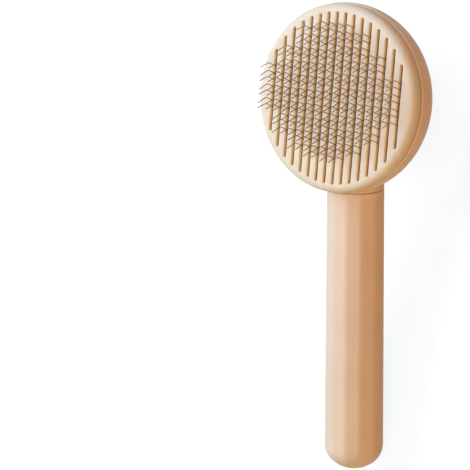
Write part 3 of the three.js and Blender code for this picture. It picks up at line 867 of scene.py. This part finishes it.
def rear_shell():
    """The bowl with its posts, the neck and the hollow spigot that carries the grip."""
    shell = shell_form()
    combined(shell, neck(), "UNION")
    posts = gathered([rod("post", x, y, POST_RADIUS, POST_DEPTH, COLLAR_DEPTH) for x, y in POST_PLACES])
    combined(posts, new_object("envelope", shell.data.copy()), "INTERSECT")
    combined(shell, shell_cavity(), "DIFFERENCE")
    floor = COLLAR_DEPTH - SHELL_WALL
    hole = rod("hole", 0, 0, BUTTON_HOLE_RADIUS, floor - OVERLAP, COLLAR_DEPTH + OVERLAP, CAVITY_SIDES)
    combined(shell, hole, "DIFFERENCE")
    combined(shell, posts, "UNION")
    root = JOINT_STATION - SPIGOT_ROOT
    spigot = faceted_rod(
        "spigot", SPIGOT_APOTHEM, SPIGOT_CORNER, root, SPIGOT_LENGTH, SPIGOT_CORNER_POINTS
    )
    combined(shell, spigot, "UNION")
    shoulder_end = JOINT_STATION + SEAT_GAP - SHOULDER_GAP
    shoulder = faceted_rod("shoulder", GRIP_APOTHEM - SHOULDER_DROP, GRIP_CORNER, root, shoulder_end)
    combined(shell, shoulder, "UNION")
    pilot_end = POST_DEPTH + POST_HOLE_LENGTH
    pilots = [
        rod("pilot", x, y, SCREW_HOLE_RADIUS, POST_DEPTH - OVERLAP, pilot_end, PILOT_SIDES)
        for x, y in POST_PLACES
    ]
    pilots += grip_screw_holes(SPIGOT_BORE_RADIUS - OVERLAP, SPIGOT_APOTHEM + OVERLAP)
    combined(shell, gathered(pilots), "DIFFERENCE")
    bore = axis_rod("bore", SPIGOT_BORE_RADIUS, SPIGOT_BORE_START, SPIGOT_LENGTH + OVERLAP)
    combined(shell, bore, "DIFFERENCE")
    shaded(shell.data, FACET_SHARP)
    return shell


finished(rear_shell(), PLASTIC, "brush_body", "body_plastic", "rear_shell")

# ------------------------------------------------------------------------------ the button


def boss_with_web(x, y, inner, front):
    """A screw boss and the web that ties it to the button's wall."""
    web_length = inner + WEB_ROOT - BOSS_CIRCLE
    web_middle = BOSS_CIRCLE + web_length / 2
    across, along = x / BOSS_CIRCLE, y / BOSS_CIRCLE
    width = abs(across) * web_length + abs(along) * WEB_THICKNESS
    length = abs(along) * web_length + abs(across) * WEB_THICKNESS
    end = front + BOSS_HEIGHT
    web = block("web", across * web_middle, along * web_middle, width, length, front, end)
    return combined(rod("boss", x, y, BOSS_RADIUS, front, end), web, "UNION")


def push_button():
    """A cup with a flange, the spring's seat and guide, and four bosses on webs."""
    inner = BUTTON_RADIUS - BUTTON_WALL
    back = COLLAR_DEPTH - SHELL_WALL - SEAT_GAP
    front = back - FLANGE_THICKNESS
    floor = REST_DEPTH - BUTTON_WALL
    seat_radius, seat_height = SPRING_SEAT
    guide_radius, guide_length = SPRING_GUIDE
    seat = floor - seat_height
    outline = [
        (inner, front),
        (FLANGE_RADIUS, front),
        (FLANGE_RADIUS, back),
        (BUTTON_RADIUS, back),
        *rounded_edge(BUTTON_RADIUS, REST_DEPTH, BUTTON_ROUND, steps=14),
        (0, REST_DEPTH),
        (0, seat - guide_length),
        (guide_radius, seat - guide_length),
        (guide_radius, seat),
        (seat_radius, seat),
        (seat_radius, floor),
        (inner, floor),
    ]
    button = revolved("thumb_button", outline, BUTTON_SIDES)
    for x, y in BOSS_PLACES:
        combined(button, boss_with_web(x, y, inner, front), "UNION")
    pilot_end = front + BOSS_HEIGHT - BOSS_FLOOR
    pilots = [
        rod("pilot", x, y, SCREW_HOLE_RADIUS, front - OVERLAP, pilot_end, PILOT_SIDES)
        for x, y in BOSS_PLACES
    ]
    combined(button, gathered(pilots), "DIFFERENCE")
    shaded(button.data, BUTTON_SHARP)
    return button


finished(push_button(), PLASTIC, "ejector", "body_plastic", "push_button")

# ------------------------------------------------------------------------------ the spring


def spring_path(bottom, top):
    """A helix between two heights, with a short upright stretch at each end."""
    steps = SPRING_TURNS * SPRING_STEPS
    path = [Vector((SPRING_RADIUS, 0, bottom))]
    for i in range(steps + 1):
        turn = 2 * math.pi * i / SPRING_STEPS
        z = bottom + SPRING_END + (top - bottom - 2 * SPRING_END) * i / steps
        path.append(Vector((SPRING_RADIUS * math.cos(turn), SPRING_RADIUS * math.sin(turn), z)))
    path.append(Vector((SPRING_RADIUS, 0, top)))
    return path


def return_spring():
    """One round wire along the helix."""
    low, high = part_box("return_spring")
    path = spring_path(low.z / MM, high.z / MM)
    rings = []
    for i, point in enumerate(path):
        at_end = i in (0, len(path) - 1)
        along = Vector((0, 0, 1)) if at_end else (path[i + 1] - path[i - 1]).normalized()
        outward = Vector((point.x, point.y, 0)).normalized()
        outward = (outward - along * outward.dot(along)).normalized()
        rings.append(ring_about(point, outward, along.cross(outward), SPRING_WIRE / 2, SPRING_SIDES))
    spring = lofted("coil_spring", rings)
    shaded(spring.data, SPRING_SHARP)
    return spring


coil = finished(return_spring(), SCREW_STEEL, "brush_body", "steel", "return_spring")
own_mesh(coil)

# --------------------------------------------------------------------- carried-over pieces

LOOKS = {"body_plastic": PLASTIC, "inner_plastic": INNER, "pin_bed": PAD, "steel": SCREW_STEEL}
for row in frame["record"]["subparts"]:
    node = frame["nodes"][row["node"]]
    node.data.materials.clear()
    node.data.materials.append(LOOKS[row["material_slot"]])

# -------------------------------------------------------------------- floor, light, camera

WHITE = (1, 1, 1, 1)
FLOOR_HALF = 4.0
FLOOR_DROP = 0.0004  # under the brush
FLOOR_ROUGHNESS = 0.9
FLOOR_GLOW = (0.9, 1.2)  # near the brush and far from it
FLOOR_GLOW_COLOUR = (0.825, 0.96, 1.01, 1)
FLOOR_FADE = (0.3, 1.2)  # metres from the middle, between which the glow grows
FLOOR_SEEN = (0.34, 0.23, 0.19, 1)  # its colour where it is looked at
FLOOR_BOUNCE = (0.35, 0.24, 0.16, 1)  # its colour in the light that it throws back
WORLD_LEVEL = 0.02  # of the light that the world throws on the brush

MIDDLE = (0, -0.06, 0.03)  # where the lamps point
LAMPS = (  # name, place, size, power, colour
    ("key", (-0.7, 0.16, 0.72), 0.6, 7.3, (0.9, 1.03, 1.17)),
    ("key_back", (-0.4, 0.7, 0.75), 0.6, 2.7, (1.0, 1.12, 1.22)),
    ("right_top", (0.35, -0.05, 1.05), 0.5, 2.4, (0.5, 0.7, 0.88)),
    ("right_fill", (0.76, 0.0, 0.66), 0.6, 4.15, (1.0, 0.41, 0.04)),
    ("front_fill", (0.1, -1.0, 0.5), 0.6, 2.8, (1.0, 0.68, 0.26)),
)

CAMERA_PLACE = (0.59093, 0.08503, 0.91872)
CAMERA_TURN = (-4.5184, 36.606, 5.5196)  # degrees about X, Y and Z
CAMERA_LENS = 199.149
CAMERA_SENSOR = 36


def white_floor():
    """A pale floor that shows as white, keeping the shadow that falls on it."""
    mesh = bpy.data.meshes.new("floor")
    mesh.from_pydata([(x * FLOOR_HALF, y * FLOOR_HALF, 0) for x, y in SQUARE], [], [(0, 1, 2, 3)])
    floor = new_object("floor", mesh)
    floor.location.z = -FLOOR_DROP
    made, tree, shader = material("floor_white")
    shader.inputs["Roughness"].default_value = FLOOR_ROUGHNESS
    shader.inputs["Emission Color"].default_value = FLOOR_GLOW_COLOUR
    seen = seen_directly(tree)
    tree.links.new(mixed(tree, seen, FLOOR_BOUNCE, FLOOR_SEEN), shader.inputs["Base Color"])
    glow = mapped(tree, from_axis(tree), *FLOOR_GLOW, between=FLOOR_FADE)
    tree.links.new(maths(tree, "MULTIPLY", seen, glow), shader.inputs["Emission Strength"])
    mesh.materials.append(made)


def white_world():
    """White to the camera and to reflections, nearly dark to the rest."""
    world = bpy.data.worlds.new("studio")
    bpy.context.scene.world = world
    world.use_nodes = True
    tree = world.node_tree
    background = tree.nodes["Background"]
    background.inputs["Color"].default_value = WHITE
    level = mapped(tree, seen_directly(tree), WORLD_LEVEL, 1)
    tree.links.new(level, background.inputs["Strength"])


def area_light(name, place, size, power, colour):
    """A round lamp that points at the middle of the brush."""
    data = bpy.data.lights.new(name, "AREA")
    data.shape = "DISK"
    data.size = size
    data.energy = power
    data.color = colour
    lamp = new_object(name, data)
    lamp.location = place
    lamp.rotation_euler = (Vector(MIDDLE) - Vector(place)).to_track_quat("-Z", "Y").to_euler()


def main_camera():
    data = bpy.data.cameras.new("camera")
    data.sensor_width = CAMERA_SENSOR
    data.lens = CAMERA_LENS
    camera = new_object("camera", data)
    turn = Euler([math.radians(angle) for angle in CAMERA_TURN])
    camera.matrix_world = Matrix.Translation(CAMERA_PLACE) @ turn.to_matrix().to_4x4()
    bpy.context.scene.camera = camera


white_floor()
for lamp_row in LAMPS:
    area_light(*lamp_row)
white_world()
main_camera()
bpy.context.scene.view_settings.view_transform = "Standard"
